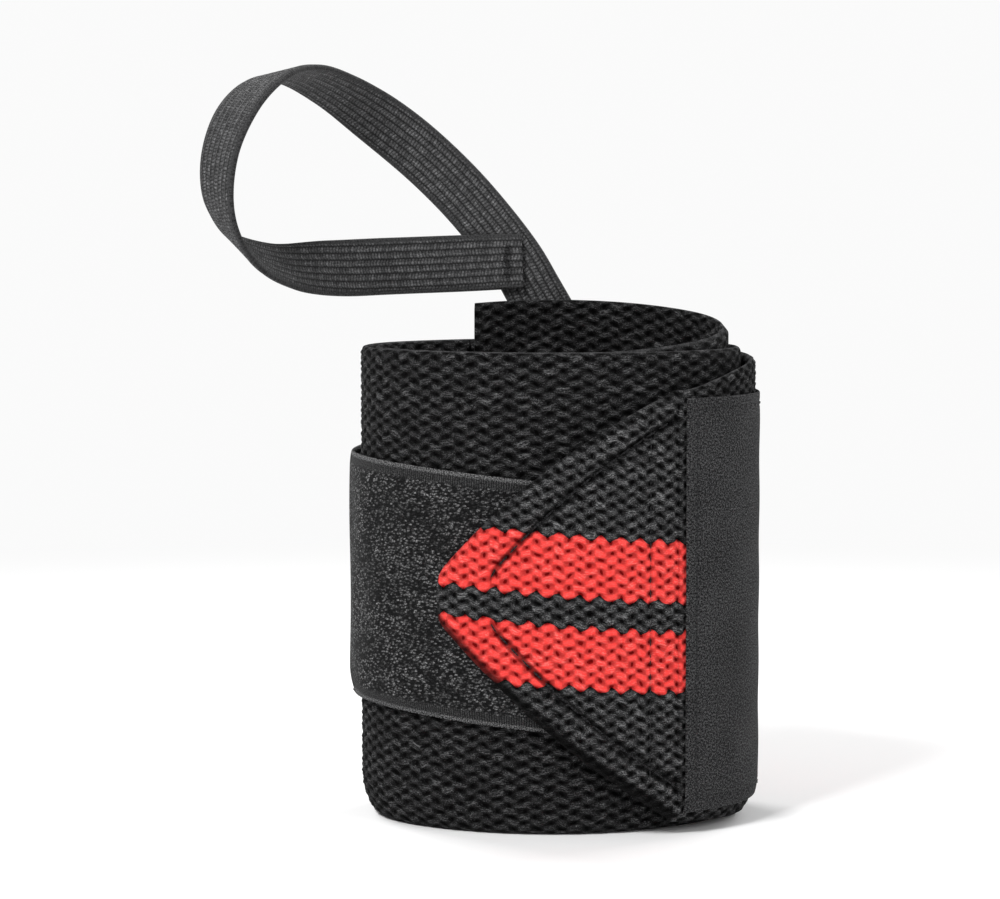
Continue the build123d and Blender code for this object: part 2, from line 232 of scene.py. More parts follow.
def winding():
    """The centre and the radius of each quarter turn of the webbing's middle line."""
    half_width = TUNNEL_WIDTH / 2 + FACE
    side = (half_width + HALF_DEPTH - math.sqrt(2) * half_width) / (2 - math.sqrt(2))
    flat = half_width + HALF_DEPTH - side
    lift_start = int((OUTER_TURN_END + 45) // 90) - len(FLAP_LIFT) + 1
    centres, radii = [np.array([0, HALF_DEPTH - flat])], [flat]
    for k in range(1, ARC_COUNT):
        lifted = sum(FLAP_LIFT[: max(0, k - lift_start + 1)])
        radius = (flat if k % 2 == 0 else side) + k * (THICKNESS + TURN_GAP) / 4 + lifted
        centres.append(centres[-1] + outward(90 * k - 45) * (radii[-1] - radius))
        radii.append(radius)
    return np.array(centres), np.array(radii)


CENTRES, RADII = winding()


def arc_of(angle):
    return np.clip(np.floor((np.asarray(angle, float) + 45) / 90).astype(int), 0, ARC_COUNT - 1)


def wound(angle, offset=0.0):
    """Points at angles and offsets from the webbing's middle line."""
    k = arc_of(angle)
    return CENTRES[k] + outward(angle) * (RADII[k] + offset)[..., None]


def summed(steps):
    """The sums of the steps before each place, from 0 on."""
    return np.concatenate([[0], np.cumsum(steps)])


def length_to(angle):
    """The length of the middle line up to an angle."""
    k = arc_of(angle)
    return summed(RADII)[k] * math.pi / 2 + RADII[k] * np.radians(np.asarray(angle, float) - (90 * k - 45))


ANGLES = np.linspace(-44.9, 90 * ARC_COUNT - 46, 24000)
LENGTHS = length_to(ANGLES)


def angle_at(length):
    return np.interp(length, LENGTHS, ANGLES)


def stretch_between(first, last):
    return length_to(last) - length_to(first)


CLOSE = 1 - np.cos(np.radians([18, 36, 54, 72, 90]))


def angles_between(first, last, spacing, ends=(1.0, 1.0), coarse=0.0, until=-math.inf):
    """Angles from first to last, spacing millimetres apart, or coarse ones before the angle until.

    ends holds how much of each end is rounded, which takes close columns, or 0.
    """
    start, end = length_to(np.array([first, last]))
    angles, here = [first], start
    while True:
        gap = coarse if angles[-1] < until else spacing
        here += gap
        if here > end - 0.3 * gap:
            break
        angles.append(angle_at(here))
    angles = np.array(angles[1:])
    gone = length_to(angles)
    inner = angles[(gone > start + ends[0]) & (gone < end - ends[1])]
    head = angle_at(start + ends[0] * CLOSE) if ends[0] else []
    tail = angle_at(end - ends[1] * CLOSE)[::-1] if ends[1] else []
    return np.array([first, *head, *inner, *tail, last])


# ---- Small tools ----
def smooth(low, high, x):
    t = np.clip((np.asarray(x, float) - low) / (high - low), 0, 1)
    return t * t * (3 - 2 * t)


def unit(vectors):
    return vectors / np.linalg.norm(vectors, axis=-1, keepdims=True)


def running(line):
    """How far along a line each of its points lies."""
    return summed(np.linalg.norm(np.diff(line, axis=0), axis=1))


def sampled(where, gone, values):
    """Rows of values at some distances, which are known at the distances gone."""
    return np.stack([np.interp(where, gone, column) for column in np.transpose(values)], 1)


CURL_HEIGHT, CURL_DEPTH = 7.0, 2.2


def curled(points):
    """Moves points near the bottom edge inwards, as the webbing's edge hugs the wrist there."""
    points = np.array(points, float)
    away = points[:, :2] / np.maximum(np.linalg.norm(points[:, :2], axis=1), 1e-6)[:, None]
    deep = CURL_DEPTH * np.clip(1 - points[:, 2] / CURL_HEIGHT, 0, 1) ** 2
    points[:, :2] -= away * deep[:, None]
    return points


def put(name, points, faces, attributes, sharp=()):
    """Makes a smooth-shaded piece from points in millimetres. sharp holds the pairs of points of sharp edges."""
    mesh = bpy.data.meshes.new(name)
    mesh.from_pydata((curled(points) * MM).tolist(), [], faces)
    for title, values in attributes.items():
        layer = mesh.attributes.new(title, "FLOAT_VECTOR", "POINT")
        layer.data.foreach_set("vector", np.asarray(values, np.float32).ravel())
    build = bmesh.new()
    build.from_mesh(mesh)
    bmesh.ops.recalc_face_normals(build, faces=build.faces)
    build.to_mesh(mesh)
    build.free()
    mesh.validate()
    mesh.shade_smooth()
    if sharp:
        for edge in mesh.edges:
            edge.use_edge_sharp = tuple(sorted(edge.vertices)) in sharp
    return add(name, mesh)


def place(thing, material, nodes, where):
    """Gives a piece its material, hides the CAD nodes that it stands for, and rides it on a body.

    A bend is two bodies, the hinge's place and the reach of the bend from there; a piece that is given a bend only
    has its place baked into its points.
    """
    thing.data.materials.append(material)
    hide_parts(*nodes)
    if isinstance(where, str):
        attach(thing, where)
    else:
        first, second, hinge, reach = where
        start = np.array(hinge)
        tuple((start + reach) * MM)
        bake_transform(thing)
    return thing


HINGE, ACROSS_HINGE = (20.344, -24.095, 40.0), np.array([-0.64, -0.768, 0])
TURN_BEND = ("wrap", "flap", HINGE, 4.5 * ACROSS_HINGE)
FLAP_BEND = ("wrap", "flap", HINGE, 4.5 * unit(ACROSS_HINGE))
STRAP_ROOT_BEND = ("flap", "strap", (-21.802, -21.308, 40.0), 6.0 * unit(np.array([-0.84, 0.54, 0])))
STRAP_TIP_BEND = ("strap", "strap_tip", (-35.325, -0.633, 40.0), (0, 6.0, 0))
LOOP_BEND = ("wrap", "thumb_loop", (-3.838, 22.180, 87.4), (0, 0, 1.6))

# ---- The weave: plump beads between small holes on a centred lattice ----
BEAD = 2.0  # from one hole to the next, across the webbing
COLUMN, FLAP_COLUMN = 2.15, 1.72  # the same along it, where it is stretched and on the flap
RELIEF = 0.55


def bead_height(across, up):
    """The height of the weave, from 0 in a hole to 1 on a bead, at lattice coordinates."""
    p, q = across / 2 + up, across / 2 - up
    h = (np.sin(np.pi * p) ** 2 + np.sin(np.pi * q) ** 2) / 2
    h = h + 0.12 * np.sin(np.pi * across) ** 2 * (1 - h)
    return 1.25 * h - 0.25 * h**2


def unevened(across, up):
    """Lattice coordinates as a real weave has them: each bead leans, and the rows wander."""
    lean = 0.075 * np.sin(np.pi * across)
    sideways = 0.10 * np.sin(2.1 * across + 1.7 * up) + 0.07 * np.sin(5.3 * across - 3.1 * up + 1)
    upwards = 0.045 * np.sin(3.3 * across + 2.9 * up + 2) + 0.04 * np.sin(1.3 * across - 4.7 * up)
    return across + sideways, up + upwards + lean


def lattice(angles, spacing):
    """The running number of the weave's columns at some angles, where they lie spacing apart."""
    spacing = np.broadcast_to(spacing, angles.shape)
    return summed(np.diff(length_to(angles)) / (spacing[1:] + spacing[:-1]) * 2)


RIM_STEPS = 6
FOLD_MIDDLE = -0.575  # the middle of a folded edge, which rolls round the hem under it
# The smooth dark band along a rolled edge is painted shade, where the roll turns away from the light.
DARK_BELOW, DARK_ABOVE = 2.9, 1.6  # how far the smooth dark band reaches in from a rolled edge


def sheet_mesh(name, line, normal, across, low, high, front, back, step=0.31, skip=4, rim=1.1, fold=0.0,
               ends=(1.0, 1.0), relief=0.0, relief_fade=1.0, shape=None, up_shift=0.0, lighter=0.0):
    """A closed sheet: a fine front face with rolled rims, and a plainer back face that shares its border.

    line and normal are its middle line and the way that its front looks. across is the weave's column
    number, low and high are the heights of its edges, front and back are offsets from the line. fold is
    1 where the edges roll right round under the sheet, and ends holds how much of each end is rounded.
    shape may move the front: it gets heights and returns offsets to add.
    """
    count, gone = len(line), running(line)
    low, high, front, back, rim, fold, fade, up_shift, lighter = (
        np.full(count, value, float)[:, None]
        for value in (low, high, front, back, rim, fold, relief_fade, up_shift, lighter))
    middle = FOLD_MIDDLE * fold + (front + back) / 2 * (1 - fold)

    # The front's rows: round the lower rim, up the face and round the upper rim.
    steep_low, steep_high = (np.hypot(1, np.gradient(edge[:, 0], gone))[:, None] for edge in (low, high))
    room = np.minimum(1, (high - low) / 2.2 / (rim * np.maximum(steep_low, steep_high)))
    reach_low, reach_high = rim * steep_low * room, rim * steep_high * room
    start = -80.0 * fold
    theta = np.radians(start + (90 - start) * np.linspace(0, 1, RIM_STEPS, endpoint=False))
    inside, sine = 1 - np.cos(theta), np.sin(theta)
    face_count = max(8, round((np.max(high - low) - 2 * np.max(rim)) / step))
    share = np.linspace(0, 1, face_count + 1)
    face = (low + reach_low) * (1 - share) + (high - reach_high) * share
    height = np.concatenate([low + reach_low * inside, face, (high - reach_high * inside)[:, ::-1]], 1)
    sine = np.concatenate([sine, np.ones_like(face), sine[:, ::-1]], 1)
    thick = np.ones((count, 1))
    for radius, left in zip(ends, (gone, gone[-1] - gone)):
        if radius:
            thick *= np.sqrt(1 - np.clip(1 - left / radius, 0, 1) ** 2)[:, None]

    # How far out each point of the front lies.
    columns, up, lifted = across[:, None], (height - up_shift) / BEAD, 0.0
    if relief:
        columns, up = unevened(columns, up)
        lifted = relief * (bead_height(columns, up) - 1) * fade
    moved = shape(height) if shape else 0 * height
    # under and over say how near a point lies to the lower and upper rolled edge. The webbing paints shade there, and
    # its relief flattens.
    under = np.clip(1 - (height - low) / (DARK_BELOW * steep_low), 0, 1)
    over = np.clip(1 - (high - height) / (DARK_ABOVE * steep_high), 0, 1)
    rolled = np.maximum(under, 0.4 * over) * fold
    lifted = (lifted + moved) * (1 - 0.8 * smooth(0.15, 0.55, rolled))
    deep = np.where(sine < 0, np.maximum(front - middle, (FACE - FOLD_MIDDLE) * fold), front - middle)
    offset = middle + (deep * sine + lifted * np.clip(sine, 0, 1)) * thick
    flat = line[:, None] + normal[:, None] * offset[..., None]
    points = np.concatenate([flat, height[..., None]], -1).reshape(-1, 3)
    selvage = 0.5 * np.clip(1.15 - sine, 0, 1.15) * (1 - fold)
    cloth = np.stack(np.broadcast_arrays(columns, up, selvage), -1).reshape(-1, 3)
    # The state attribute holds dented and rolled, from which the webbing paints shade in creases and dents and along
    # rolled edges. It also holds lighter, how much lighter the colour is painted.
    dented = np.clip(-moved / 0.55, 0, 1)
    state = np.stack(np.broadcast_arrays(dented, rolled, lighter), -1).reshape(-1, 3)

    # The faces: the front's, and the back's, whose outermost ones take in all points of the border.
    index = np.arange(height.size).reshape(height.shape)
    corners = [index[:-1, :-1], index[1:, :-1], index[1:, 1:], index[:-1, 1:]]
    faces = np.stack(corners, -1).reshape(-1, 4).tolist()
    last_column, last_row = count - 1, height.shape[1] - 1
    back_columns = sorted({0, 1, *range(1, last_column, skip), last_column - 1, last_column})
    back_rows = sorted({0, *range(RIM_STEPS, last_row - RIM_STEPS, skip), last_row - RIM_STEPS, last_row})
    back_offset = (middle + (back - middle) * thick)[:, 0]
    number, extra, extra_cloth = {}, [], []
    for i in back_columns:
        for j in back_rows:
            number[i, j] = int(index[i, j])
            if i not in (0, last_column) and j not in (0, last_row):
                number[i, j] = len(points) + len(extra)
                extra.append([*(line[i] + normal[i] * back_offset[i]), height[i, j]])
                extra_cloth.append([across[i], up[i, j], 1.0])
    for i, i2 in zip(back_columns, back_columns[1:]):
        for j, j2 in zip(back_rows, back_rows[1:]):
            ring = index[i:i2, 0].tolist() if j == 0 else [number[i, j]]
            ring += index[-1, j:j2].tolist() if i2 == last_column else [number[i2, j]]
            ring += index[i2:i:-1, -1].tolist() if j2 == last_row else [number[i2, j2]]
            ring += index[0, j2:j:-1].tolist() if i == 0 else [number[i, j2]]
            faces.append(tuple(dict.fromkeys(ring)))
    sharp = {pair for border, rounded in zip(index[[0, -1]].tolist(), ends) if not rounded
             for pair in zip(border, border[1:])}
    attributes = {"cloth": np.concatenate([cloth, extra_cloth]),
                  "state": np.concatenate([state, np.zeros((len(extra), 3))])}
    return put(name, np.concatenate([points, extra]), faces, attributes, sharp)


def wound_sheet(name, angles, across, low, high, front, back, looks=1, **more):
    """A sheet on the winding. looks is 1 where its front looks outwards, and -1 where it looks at the wrist."""
    return sheet_mesh(name, wound(angles), looks * outward(angles), across, low, high, front, back, **more)


# ---- Materials ----
# Webbing colours: painted shade in the weave's holes, the yarn's own colour, and the yarn's painted highlight.
BLACK_HOLE_SHADE, BLACK, BLACK_LIT = (0.0005, 0.0005, 0.0005), (0.0142, 0.0142, 0.0146), (0.250, 0.250, 0.254)
RED_HOLE_SHADE, RED, RED_LIT = (0.20, 0.0025, 0.0025), (1.0, 0.06, 0.053), (1.0, 0.33, 0.295)
EDGE_YARN = (0.075, 0.075, 0.077)
FINE_THREAD = 0.42  # from one thread to the next in the panel's cloth and the strap's border


def webbing_material():
    """Black and red knitted webbing, coloured bead by bead, with painted shade in its holes, between its beads, in
    creases and along rolled edges, and painted highlights on its beads.
    """
    s = Shade("webbing")
    across, up, rim = s.attribute("cloth")
    dented, rolled, lighter = s.attribute("state")
    half = across * 0.5
    p, q = half + up, half - up
    centre_p, centre_q = p.floor() + 0.5, q.floor() + 0.5
    from_middle = abs((centre_p - centre_q) * (BEAD / 2) - STRIPE_MIDDLE)
    red = from_middle.above(STRIPE_SPACE / 2) * from_middle.below(STRIPE_SPACE / 2 + STRIPE_WIDTH)
    wave_p, wave_q, wave_a = ((n * math.pi).sine() ** 2.0 for n in (p, q, across))
    height = (wave_p + wave_q) * 0.5
    rounder = height + wave_a * 0.40 * (1.0 - height)
    each = s.random(s.vector(centre_p, centre_q))
    fine = s.vector(across * 1.9, up * BEAD, each)
    streaks = s.noise(s.vector(across, up * (BEAD * 2.4), each), 2.7, 3.0, 0.68)
    grain, hairs = s.noise(fine, 3.6, 4.0, 0.8), s.noise(fine, 7.0, 2.0, 0.6)
    rough = (grain - 0.5) * 0.5
    ragged = height + rough
    # hole marks where the weave's holes get their painted shade.
    hole = (rounder + rough).ramp(0.10, 0.30, 1.0, 0.0)
    # Painted shade in the valleys between beads, which also keeps the painted highlights to the crests.
    valley_shade = ragged.ramp(0.24, 0.86, 0.16, 1.0)
    # Painted highlights: streaks and glints of fibres catching light on the beads, stronger where the flap is painted
    # lighter.
    shine = streaks.ramp(0.47, 0.66) * (valley_shade * each.ramp(0.0, 1.0, 0.35, 1.1))
    glint = hairs.ramp(0.54, 0.68) * (valley_shade * grain.ramp(0.42, 0.60, 0.2, 1.0))
    light = ((shine * 0.42 + glint * 0.60) * (lighter * 0.9 + 1.0)).least(1.0)
    black = s.mix(light, s.scaled(BLACK, valley_shade * (lighter + 1.0)), BLACK_LIT)
    # The red is darkened between beads the same way, as painted shade, and gets its own painted highlights.
    rosy = s.mix(shine * 0.55 + glint * 0.45, s.scaled(RED, ragged.ramp(0.2, 0.78, 0.56, 1.0)), RED_LIT)
    colour = s.mix(hole, s.mix(red, black, rosy), s.mix(red, BLACK_HOLE_SHADE, RED_HOLE_SHADE))
    selvage = rim.ramp(0.30, 0.45) * rim.ramp(0.62, 0.80, 1.0, 0.0)
    colour = s.mix(selvage * grain.ramp(0.35, 0.65, 0.15, 0.8), colour, EDGE_YARN)
    # Painted shade in seam creases and dents, and along the flap's rolled edges.
    shade = dented.ramp(0.25, 1.0, 1.0, 0.32) * rolled.ramp(0.12, 0.68, 1.0, 0.10)
    bumps = streaks * 0.9 + grain * 0.8 + ragged.least(0.5) * 2.2
    return s.finish(s.scaled(colour, shade), 0.9, 0.02, 0.02, bumps, 0.00024)


def strap_material():
    """The strap's fine knit: uneven light specks in diagonal rows on a dark ground, its knit's dots painted as glints
    of its shiny yarn, with finely ribbed borders.
    """
    s = Shade("strap_knit")
    x, y, _ = s.attribute("cloth")
    up = y * BEAD
    distance, own = s.cells(s.vector((x + up * 0.5) * 0.8, up * 1.45), 2.0, 0.9)
    grain, cloud = s.noise(s.vector(x, up), 4.5, 3.0, 0.7), s.noise(s.vector(x * 0.7, up), 0.16, 2.0, 0.5)
    # The knit's dots, painted light as glints of its shiny yarn.
    dots_and_glints = distance.ramp(0.12, 0.70, 1.0, 0.0) * own.ramp(0.05, 1.0, 0.05, 0.95)
    dots_and_glints = dots_and_glints * grain.ramp(0.42, 0.60, 0.10, 1.0) * cloud.ramp(0.36, 0.60, 0.5, 1.0)
    edge = (up - STRAP_LOW).least(STRAP_HIGH - up)
    border, line = edge.ramp(1.9, 2.8, 1.0, 0.0), edge.ramp(0.75, 1.15, 1.0, 0.0)
    ribs = abs((x * (math.pi / FINE_THREAD)).sine())
    plain = ribs * grain.ramp(0.42, 0.60, 0.1, 1.0) * 0.13 + line * grain.ramp(0.40, 0.62, 0.0, 0.3)
    ground = s.scaled((0.0065, 0.0065, 0.0068), grain.ramp(0.40, 0.62, 0.25, 1.6))
    colour = s.mix(s.between(border, dots_and_glints, plain), ground, (0.46, 0.46, 0.465))
    bumps = dots_and_glints * (1.0 - border) + grain * 0.8 + ribs * (border * 0.8)
    return s.finish(colour, 0.8, 0.02, 0.06, bumps, 0.00014, 0.9)


def panel_material():
    """Fine plain cloth for the bare panel."""
    s = Shade("panel_cloth")
    x, y, _ = s.attribute("cloth")
    up, turn = y * BEAD, 2 * math.pi / FINE_THREAD
    weave = (x * turn).sine() * (up * turn).sine()
    grain, cloud = s.noise(s.vector(x, up), 3.2, 4.0, 0.8), s.noise(s.vector(x, up), 0.12, 2.0, 0.5)
    # The weave's small checker of lighter and darker is painted light and shade on the crossing threads. Grain and
    # cloud are the cloth's own tone.
    level = grain.ramp(0.43, 0.62, -0.1, 1.0) + (cloud - 0.45) * 0.4 + weave * 0.08
    colour = s.mix(level, (0.006, 0.006, 0.0064), (0.088, 0.088, 0.09))
    return s.finish(colour, 0.85, 0.02, 0.05, weave * 0.6 + grain, 0.0001, 0.8)


def pile_material(name, dark, light, scale):
    """Fuzzy pile: light specks and loops of fibre over a dark ground, their lightness painted glints."""
    s = Shade(name)
    x, y, _ = s.attribute("cloth")
    spot = s.vector(x, y * BEAD)
    grain, tuft = s.noise(spot, scale, 5.0, 0.85), s.noise(spot, scale * 0.16, 3.0, 0.7)
    distance, own = s.cells(spot, scale * 0.5)
    # Light specks and loops: the fibres' painted glints.
    specks = distance.ramp(0.05, 0.50, 1.0, 0.0) * own.ramp(0.25, 1.0)
    loops = abs(s.noise(spot, scale * 0.36, 2.0, 0.6) - 0.5).ramp(0.0, 0.07, 0.42, 0.0)
    level = specks.most(loops * own.ramp(0.0, 0.8, 0.2, 1.0))
    level = level * grain.ramp(0.38, 0.60, 0.15, 1.0) * tuft.ramp(0.36, 0.62, 0.4, 1.0)
    return s.finish(s.mix(level, dark, light), 0.95, 0.08, 0.04, grain + tuft * 0.5, 0.00025)


def hair_material():
    """Loop yarn, each hair of a lightness of its own."""
    s = Shade("pile_hair")
    own = s.random(s.vector(s.attribute("cloth")[2], 0.0)) ** 1.6
    return s.finish(s.mix(own, (0.006, 0.006, 0.0064), (0.26, 0.26, 0.265)), 0.8, 0.05, 0.1)


def elastic_material():
    """Braided elastic: ribs of short slanting floats, staggered from rib to rib, with plain edges, painted highlights
    on the floats and painted shade between them.
    """
    s = Shade("braided_elastic")
    x, y, _ = s.attribute("cloth")
    rib, inside = y.floor(), y.fraction() - 0.5
    lean = rib % 2.0 * 2.0 - 1.0
    phase = x / 0.60 + rib * 0.5 + inside * lean * 0.35
    own = s.random(s.vector(phase.floor(), rib))
    yarn = abs((phase * math.pi).sine()) ** 1.1
    crest = (inside * math.pi).cosine() ** 0.8
    wide = y * RIB
    grain, streaks = s.noise(s.vector(x, wide), 3.4, 4.0, 0.75), s.noise(s.vector(x * 0.22, wide), 3.0, 3.0, 0.7)
    plain = (WIDE / 2 / RIB - abs(y - RIB_ZERO)).ramp(0.55, 0.75, 1.0, 0.0)
    # level is a painted highlight along each float's crest.
    level = yarn.ramp(0.0, 1.0, 0.25, 1.0) * crest * grain.ramp(0.36, 0.66, 0.15, 1.0)
    level = level * own.ramp(0.0, 1.0, 0.5, 1.1) * streaks.ramp(0.35, 0.65, 0.45, 1.15)
    light = s.between(plain, level, grain.ramp(0.35, 0.65, 0.0, 0.18))
    # The ground gets painted shade between the floats and at the ribs' sides.
    ground = s.scaled((0.018, 0.018, 0.0187), (crest * yarn.ramp(0.0, 1.0, 0.6, 1.0)).ramp(0.1, 0.9, 0.3, 1.0))
    colour = s.mix(light, ground, (0.235, 0.235, 0.24))
    return s.finish(colour, 0.7, 0.05, 0.15, yarn * crest * 0.7 + grain, 0.00016, 0.9)


def thread_material(name, dark, light):
    """Twisted sewing thread, painted lighter and darker along its twist as highlight and shade on its plies."""
    s = Shade(name)
    x, y, _ = s.attribute("cloth")
    twist = ((x * 1.6 + y) * (2 * math.pi)).sine()
    level = twist.ramp(-1.0, 1.0, 0.0, 0.7) + s.noise(s.vector(x, y), 4.0, 3.0, 0.7) * 0.3
    return s.finish(s.mix(level, dark, light), 0.65, 0.05, 0.15, twist, 0.00005)


WEBBING, STRAP, PANEL, ELASTIC = webbing_material(), strap_material(), panel_material(), elastic_material()
PILE = pile_material("loop_pile", (0.007, 0.007, 0.0074), (0.36, 0.36, 0.365), 3.6)
HOOKS = pile_material("hook_pile", (0.02, 0.02, 0.022), (0.16, 0.16, 0.165), 2.0)
# A near-black copy of the hooks' pile: painted shade on the bare tape at the strap's end.
HOOK_EDGE_SHADED = pile_material("hook_edge", (0.0015, 0.0015, 0.0016), (0.03, 0.03, 0.031), 2.4)
THREAD = thread_material("black_thread", (0.004, 0.004, 0.0045), (0.03, 0.03, 0.032))
EDGE_THREAD = thread_material("edge_thread", (0.012, 0.012, 0.013), (0.075, 0.075, 0.078))

# ---- The inner turn, whose fine face looks at the wrist ----
angles = angles_between(INNER_END, INNER_TURN_END, 0.6)
tilt = np.where(angles < 180, np.clip((wound(angles)[:, 1] + HALF_DEPTH) / (2 * HALF_DEPTH), 0, 1), 0)
inner_low = INNER_END_RISE * tilt
inner_turn = place(wound_sheet(
    "webbing_inner_turn", angles, lattice(angles, COLUMN), inner_low, inner_low + WIDTH, FACE, -FACE, -1,
    step=0.42, skip=3, relief=0.5, up_shift=inner_low),
    WEBBING, ["inner_turn", "inner_turn_stripes"], "wrap")


# ---- The middle turn ----
def in_band(low, high, x):
    """1 between two values and 0 outside them, with soft steps."""
    return smooth(low - 0.2, low + 0.7, x) * smooth(high + 0.2, high - 0.7, x)


def under_patch(height, gone, first, last):
    """The webbing gives way under the sewn patch."""
    return -0.62 * in_band(first, last, gone)[:, None] * in_band(PATCH_LOW, PATCH_HIGH, height)


MIDDLE_SEEN = 498.0  # up to this angle the outer turn covers the middle one
patch_first, patch_last = length_to(PATCH_START), length_to(PATCH_END)
angles = angles_between(INNER_TURN_END, MIDDLE_TURN_END, 0.45, (1.0, 0), 1.6, MIDDLE_SEEN)
middle_number = lattice(angles, COLUMN)
middle_turn = place(wound_sheet(
    "webbing_middle_turn", angles, middle_number, 0.0, WIDTH, FACE, -FACE, relief=RELIEF,
    relief_fade=smooth(MIDDLE_SEEN, MIDDLE_SEEN + 3, angles), ends=(1.0, 0),
    shape=lambda height: under_patch(height, length_to(angles), patch_first, patch_last + 5)),
    WEBBING, ["middle_turn", "middle_turn_stripes"], "wrap")

# ---- The outer turn and the pointed flap, one strip of webbing ----
ROOT_X = wound(OUTER_TURN_END, FACE)[0]
TIP_X = ROOT_X - FLAP_LENGTH
TIP_MIDDLE, TIP_HALF = STRIPE_MIDDLE + TIP_RISE, TIP_HEIGHT / 2 + 1.1
FLAP_BACK = (866, 990)  # angles between which the flap lies


def slanting_arc(side, root):
    """The centre and radius of the flap's upper (1) or lower (-1) edge, by its tip, shoulder and root."""
    tip = complex(TIP_X, TIP_MIDDLE + side * TIP_HALF)
    shoulder = complex(TIP_X + SHOULDER_LENGTH, TIP_MIDDLE + side * SHOULDER_REACH)
    turn = (complex(ROOT_X, root) - tip) / (shoulder - tip)
    centre = tip + (shoulder - tip) * (turn - abs(turn) ** 2) / (2j * turn.imag)
    return centre.real, centre.imag, abs(tip - centre)


SLANTING = {-1: slanting_arc(-1, OUTER_BOTTOM_RISE + FOLD_STEP[0]),
            1: slanting_arc(1, WIDTH - OUTER_TOP_DROP - FOLD_STEP[1])}


def flap_edge(x, side):
    """The height of the flap's upper (1) or lower (-1) slanting edge at an x."""
    cx, cy, r = SLANTING[side]
    x = np.clip(x, TIP_X, ROOT_X)
    blunt = 0.9 * (1 - np.sqrt(1 - np.clip(1 - (x - TIP_X) / 1.4, 0, 1) ** 2))
    return cy + side * (np.sqrt(r * r - (x - cx) ** 2) - blunt)


def flap_angle(x):
    """The angle at which the flap's outer face has an x."""
    table = np.linspace(*FLAP_BACK, 4000)
    return np.interp(-x, -wound(table, FACE)[:, 0], table)


FLAP_TIP = flap_angle(TIP_X)
angles = angles_between(MIDDLE_TURN_END, FLAP_TIP, 0.45, (0, 1.0))
outer_gone = length_to(angles)
x_here, y_here = wound(angles, FACE)[:, 0], wound(angles)[:, 1]
on_flap = angles > OUTER_TURN_END
drop = np.clip((HALF_DEPTH - y_here) / (2 * HALF_DEPTH), 0, 1)
near_flap = np.where(angles > 790, smooth(ROOT_X + 14, ROOT_X, x_here), 0)
turn_low = OUTER_BOTTOM_RISE * drop + FOLD_STEP[0] * near_flap
turn_high = WIDTH - OUTER_TOP_DROP * drop - FOLD_STEP[1] * near_flap
turn_in = smooth(ROOT_X + 0.3, ROOT_X - 1.2, x_here) * on_flap
edge_low = np.maximum(turn_low, flap_edge(x_here, -1) * turn_in + turn_low * (1 - turn_in))
edge_high = np.minimum(turn_high, flap_edge(x_here, 1) * turn_in + turn_high * (1 - turn_in))
slide = -STRIPE_SLOPE * np.where(on_flap, x_here, ROOT_X * smooth(790, 866, angles))


SEAM_LEAN = 0.62  # from heights to distances across a slanting seam


def crease(distance, width=0.65, deep=0.72):
    return -deep * np.exp(-((distance / width) ** 2))


def flap_creases(height):
    """The seams' creases, the hem's slight swelling along the slanting edges and the dent under the patch."""
    seams = {side: flap_edge(x_here - HEM_SEAM, side)[:, None] for side in (-1, 1)}
    inside = smooth(TIP_X + HEM_SEAM - 1, TIP_X + HEM_SEAM + 1, x_here)[:, None]
    here = on_flap[:, None]
    both = sum(crease((height - seam) * SEAM_LEAN) for seam in seams.values())
    swell = np.maximum(*(smooth(seam, seam + 3 * side, height) for side, seam in seams.items()))
    swell = np.where(inside > 0.5, swell, 1.0) * here * smooth(ROOT_X, ROOT_X - 6, x_here)[:, None] * 0.5
    cross = crease(x_here - (ROOT_X - CROSS_SEAM), 0.6, 0.34)[:, None] * smooth(edge_low, edge_low + 4, height.T).T
    at_panel = crease(x_here - (ROOT_X - 0.2), 0.5, 0.3)[:, None]
    dent = under_patch(height, outer_gone, patch_first - 5, patch_last)
    return here * (inside * both + cross + at_panel) + swell + dent


spacing = COLUMN + (FLAP_COLUMN - COLUMN) * smooth(790, 860, angles)
outer_turn = place(wound_sheet(
    "webbing_outer_turn", angles, middle_number[-1] + lattice(angles, spacing), edge_low, edge_high, FACE, -FACE,
    rim=1.1 + 1.2 * turn_in, fold=turn_in, ends=(0, 1.0), relief=RELIEF, shape=flap_creases, up_shift=slide,
    lighter=smooth(ROOT_X + 4, ROOT_X - 2, x_here) * (angles > 790)),
    WEBBING, ["outer_turn", "outer_turn_stripes", "pointed_flap", "flap_stripes"], TURN_BEND)


# ---- The hems that are folded under the flap ----
def hem(name, side, node):
    """The strip that is folded under one slanting edge; its fine face looks at the wrist."""
    angles = angles_between(OUTER_TURN_END + 0.6, FLAP_TIP - 1.2, 0.6, (0, 0))
    x, near = wound(angles, FACE)[:, 0], TIP_MIDDLE + 0.1 * side
    further = np.maximum if side > 0 else np.minimum
    inner = np.where(x - HEM_WIDTH < TIP_X, near, further(flap_edge(x - HEM_WIDTH, side), near))
    low, high = [inner, flap_edge(x, side) - 1.7 * side][::side]
    strip = wound_sheet(
        name, angles, lattice(angles, FLAP_COLUMN), low, high, 2.05, 0.97, -1,
        step=0.5, rim=0.45, relief=0.22, ends=(0.4, 0.4))
    return place(strip, WEBBING, [node], FLAP_BEND)


flap_hems = [hem("flap_hem_upper", 1, "folded_hem_upper"), hem("flap_hem_lower", -1, "folded_hem_lower")]


